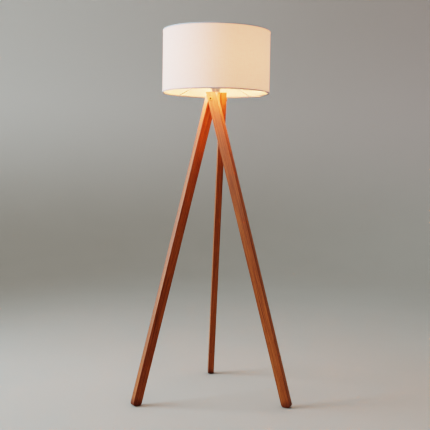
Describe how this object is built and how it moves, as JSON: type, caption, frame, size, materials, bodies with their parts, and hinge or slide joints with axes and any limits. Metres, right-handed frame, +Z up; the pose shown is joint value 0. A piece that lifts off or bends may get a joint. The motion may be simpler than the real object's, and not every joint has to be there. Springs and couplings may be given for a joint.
{
  "type": "tripod floor lamp",
  "caption": "Floor lamp: tapered timber slats bolted pinwheel-fashion round a triangular hub carry a lampholder and a cream cloth drum shade on a wire spider.",
  "frame": {"origin": "on the floor, at the bottom centre of the lamp's bounding box", "axes": "+Z up along the lamp's axis, -Y towards the viewer of the broad face with the bolt, +X to that viewer's right; the lamp's own axis stands at X -0.0020, Y -0.0752"},
  "size_m": [0.6596, 0.6004, 1.547],
  "materials": {
    "timber": "oiled mid-brown hardwood, satin",
    "bolt_bronze": "bronzed, satin",
    "brass": "plain",
    "steel": "zinc plated",
    "glide_nylon": "brown moulded nylon",
    "black_plastic": "moulded",
    "holder_plastic": "ivory moulded, satin",
    "ceramic": "unglazed",
    "shade_cloth": "plain-woven cream cotton",
    "shade_liner": "smooth white styrene sheet",
    "white_wire": "white powder coat",
    "nickel": "nickel plated",
    "bulb_housing": "white moulded",
    "board_aluminium": "plain",
    "diffuser": "frosted, glowing warm white"
  },
  "bodies": {
    "hub": {"hub_block": "timber", "front_leg_bolt": "bolt_bronze", "rear_leg_bolt": "bolt_bronze", "left_leg_bolt": "bolt_bronze", "front_threaded_insert": "brass", "rear_threaded_insert": "brass", "left_threaded_insert": "brass", "front_stop_pin": "steel", "rear_stop_pin": "steel", "left_stop_pin": "steel", "nipple": "steel", "hub_washer": "steel", "hub_nut": "steel", "cord_bush": "black_plastic", "holder_cap": "holder_plastic", "holder_skirt": "holder_plastic", "holder_core": "ceramic", "centre_contact": "brass", "side_contact": "brass", "terminal_screw_1": "brass", "terminal_screw_2": "brass", "lower_shade_ring_nut": "holder_plastic"},
    "front_leg": {"front_leg": "timber", "front_foot_glide": "glide_nylon"},
    "rear_leg": {"rear_leg": "timber", "rear_foot_glide": "glide_nylon"},
    "left_leg": {"left_leg": "timber", "left_foot_glide": "glide_nylon"},
    "shade": {"shade_fabric": "shade_cloth", "shade_liner": "shade_liner", "bottom_hem": "shade_cloth", "top_hem": "shade_cloth", "bottom_rim_wire": "white_wire", "top_rim_wire": "white_wire", "spider_ring": "white_wire", "spider_arm_1": "white_wire", "spider_arm_2": "white_wire", "spider_arm_3": "white_wire", "spider_arm_4": "white_wire"},
    "upper_ring_nut": {"upper_shade_ring_nut": "holder_plastic"},
    "bulb": {"bulb_contact": "nickel", "bulb_insulator": "black_plastic", "bulb_cap": "nickel", "bulb_housing": "bulb_housing", "led_board": "board_aluminium", "bulb_diffuser": "diffuser"}
  },
  "joints": [
    {"name": "front_leg_fold", "type": "hinge", "parent": "hub", "child": "front_leg", "pos_m": [-0.01709, -0.10201, 1.2635], "axis": [0.4131, 0.9107, 0], "range_deg": [0, 15.6]},
    {"name": "rear_leg_fold", "type": "hinge", "parent": "hub", "child": "rear_leg", "pos_m": [0.02887, -0.07486, 1.2635], "axis": [-0.9952, -0.0976, 0], "range_deg": [0, 15.6]},
    {"name": "left_leg_fold", "type": "hinge", "parent": "hub", "child": "left_leg", "pos_m": [-0.01763, -0.04864, 1.2635], "axis": [0.5821, -0.8131, 0], "range_deg": [0, 15.6]},
    {"name": "shade_swivel", "type": "hinge", "parent": "hub", "child": "shade", "pos_m": [-0.00195, -0.07517, 1.3523], "axis": [0, 0, 1], "continuous": true},
    {"name": "ring_nut_turn", "type": "hinge", "parent": "hub", "child": "upper_ring_nut", "pos_m": [-0.00195, -0.07517, 1.3556], "axis": [0, 0, 1], "continuous": true},
    {"name": "bulb_turn", "type": "hinge", "parent": "hub", "child": "bulb", "pos_m": [-0.00195, -0.07517, 1.343], "axis": [0, 0, 1], "continuous": true}
  ]
}
